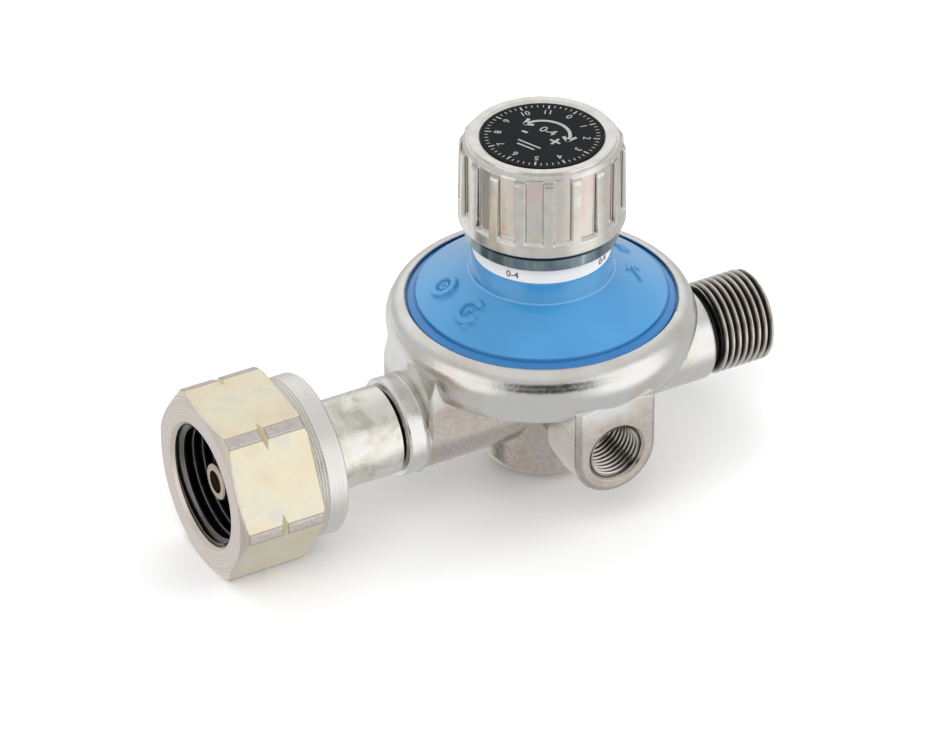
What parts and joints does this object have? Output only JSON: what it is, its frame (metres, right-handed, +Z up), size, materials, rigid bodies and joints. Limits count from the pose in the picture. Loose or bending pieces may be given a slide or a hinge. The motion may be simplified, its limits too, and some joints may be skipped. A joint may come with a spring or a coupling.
{
  "type": "adjustable gas pressure regulator",
  "caption": "Adjustable gas pressure regulator: cast body with blue bonnet, fluted knob, union nut inlet, threaded outlet and side gauge port.",
  "frame": {"origin": "centre of the union nut's mouth, on the gas axis", "axes": "+X along the gas axis from the inlet nut to the outlet thread, +Z up along the knob's axis, and the gauge port faces -Y"},
  "size_m": [0.1092, 0.0538, 0.0652],
  "materials": {
    "cast_zinc": "satin die-cast zinc, clear passivated",
    "blue_paint": "glossy blue paint",
    "scale_white": "matte white with black print",
    "knob_zinc": "satin zinc, faintly iridescent passivation",
    "skirt_chrome": "polished",
    "label_black": "black disc with silver print",
    "stem_steel": "zinc plated, finely turned",
    "nut_passivated": "satin, pale yellow passivation",
    "thread_steel": "zinc plated thread",
    "nipple_brass": "turned brass",
    "brass": "turned brass",
    "plated_steel": "zinc plated",
    "spring_steel": "bright spring steel",
    "black_rubber": "matte black rubber"
  },
  "bodies": {
    "housing": {"body_casting": "cast_zinc", "bonnet": "blue_paint", "scale_ring": "scale_white", "clamp_ring": "plated_steel", "diaphragm": "black_rubber", "valve_seat": "brass", "valve_seat_oring": "black_rubber", "poppet_spring": "spring_steel", "main_spring": "spring_steel", "inlet_stem": "stem_steel", "stem_oring": "black_rubber", "inlet_filter": "brass", "inlet_nipple": "nipple_brass", "nipple_seal": "black_rubber", "outlet_nipple": "thread_steel"},
    "seat_body": {"spring_seat": "plated_steel", "thrust_ball": "spring_steel"},
    "knob_body": {"knob": "knob_zinc", "knob_skirt": "skirt_chrome", "knob_label": "label_black", "knob_nut": "plated_steel", "adjusting_spindle": "plated_steel"},
    "diaphragm_stack": {"diaphragm_plate": "plated_steel", "diaphragm_washer": "plated_steel", "diaphragm_rivet": "brass"},
    "poppet_body": {"poppet": "brass", "poppet_seal": "black_rubber"},
    "nut_slider": {"nut_thrust_washer": "plated_steel"},
    "nut_body": {"union_nut": "nut_passivated"}
  },
  "joints": [
    {"name": "seat_lift", "type": "slide", "parent": "housing", "child": "seat_body", "axis": [0, 0, 1], "range_m": [-0.0025, 0.0025], "deforming": ["main_spring"]},
    {"name": "knob_turn", "type": "hinge", "parent": "seat_body", "child": "knob_body", "pos_m": [0.0662, 0, 0], "axis": [0, 0, 1], "range_deg": [-720, 720]},
    {"name": "diaphragm_lift", "type": "slide", "parent": "housing", "child": "diaphragm_stack", "axis": [0, 0, 1], "range_m": [-0.001, 0], "stiffness_N_per_m": 800, "springref_m": 0.0006, "deforming": ["diaphragm"]},
    {"name": "poppet_lift", "type": "slide", "parent": "housing", "child": "poppet_body", "axis": [0, 0, 1], "range_m": [-0.001, 0], "deforming": ["poppet_spring"]},
    {"name": "nut_slide", "type": "slide", "parent": "housing", "child": "nut_slider", "axis": [1, 0, 0], "range_m": [0, 0.0135]},
    {"name": "nut_spin", "type": "hinge", "parent": "nut_slider", "child": "nut_body", "pos_m": [0, 0, 0], "axis": [1, 0, 0], "continuous": true}
  ],
  "couplings": [
    {"joint": "seat_lift", "follows": "knob_turn", "m_per_rad": 0.0001989},
    {"joint": "poppet_lift", "follows": "diaphragm_lift", "ratio": 1}
  ]
}
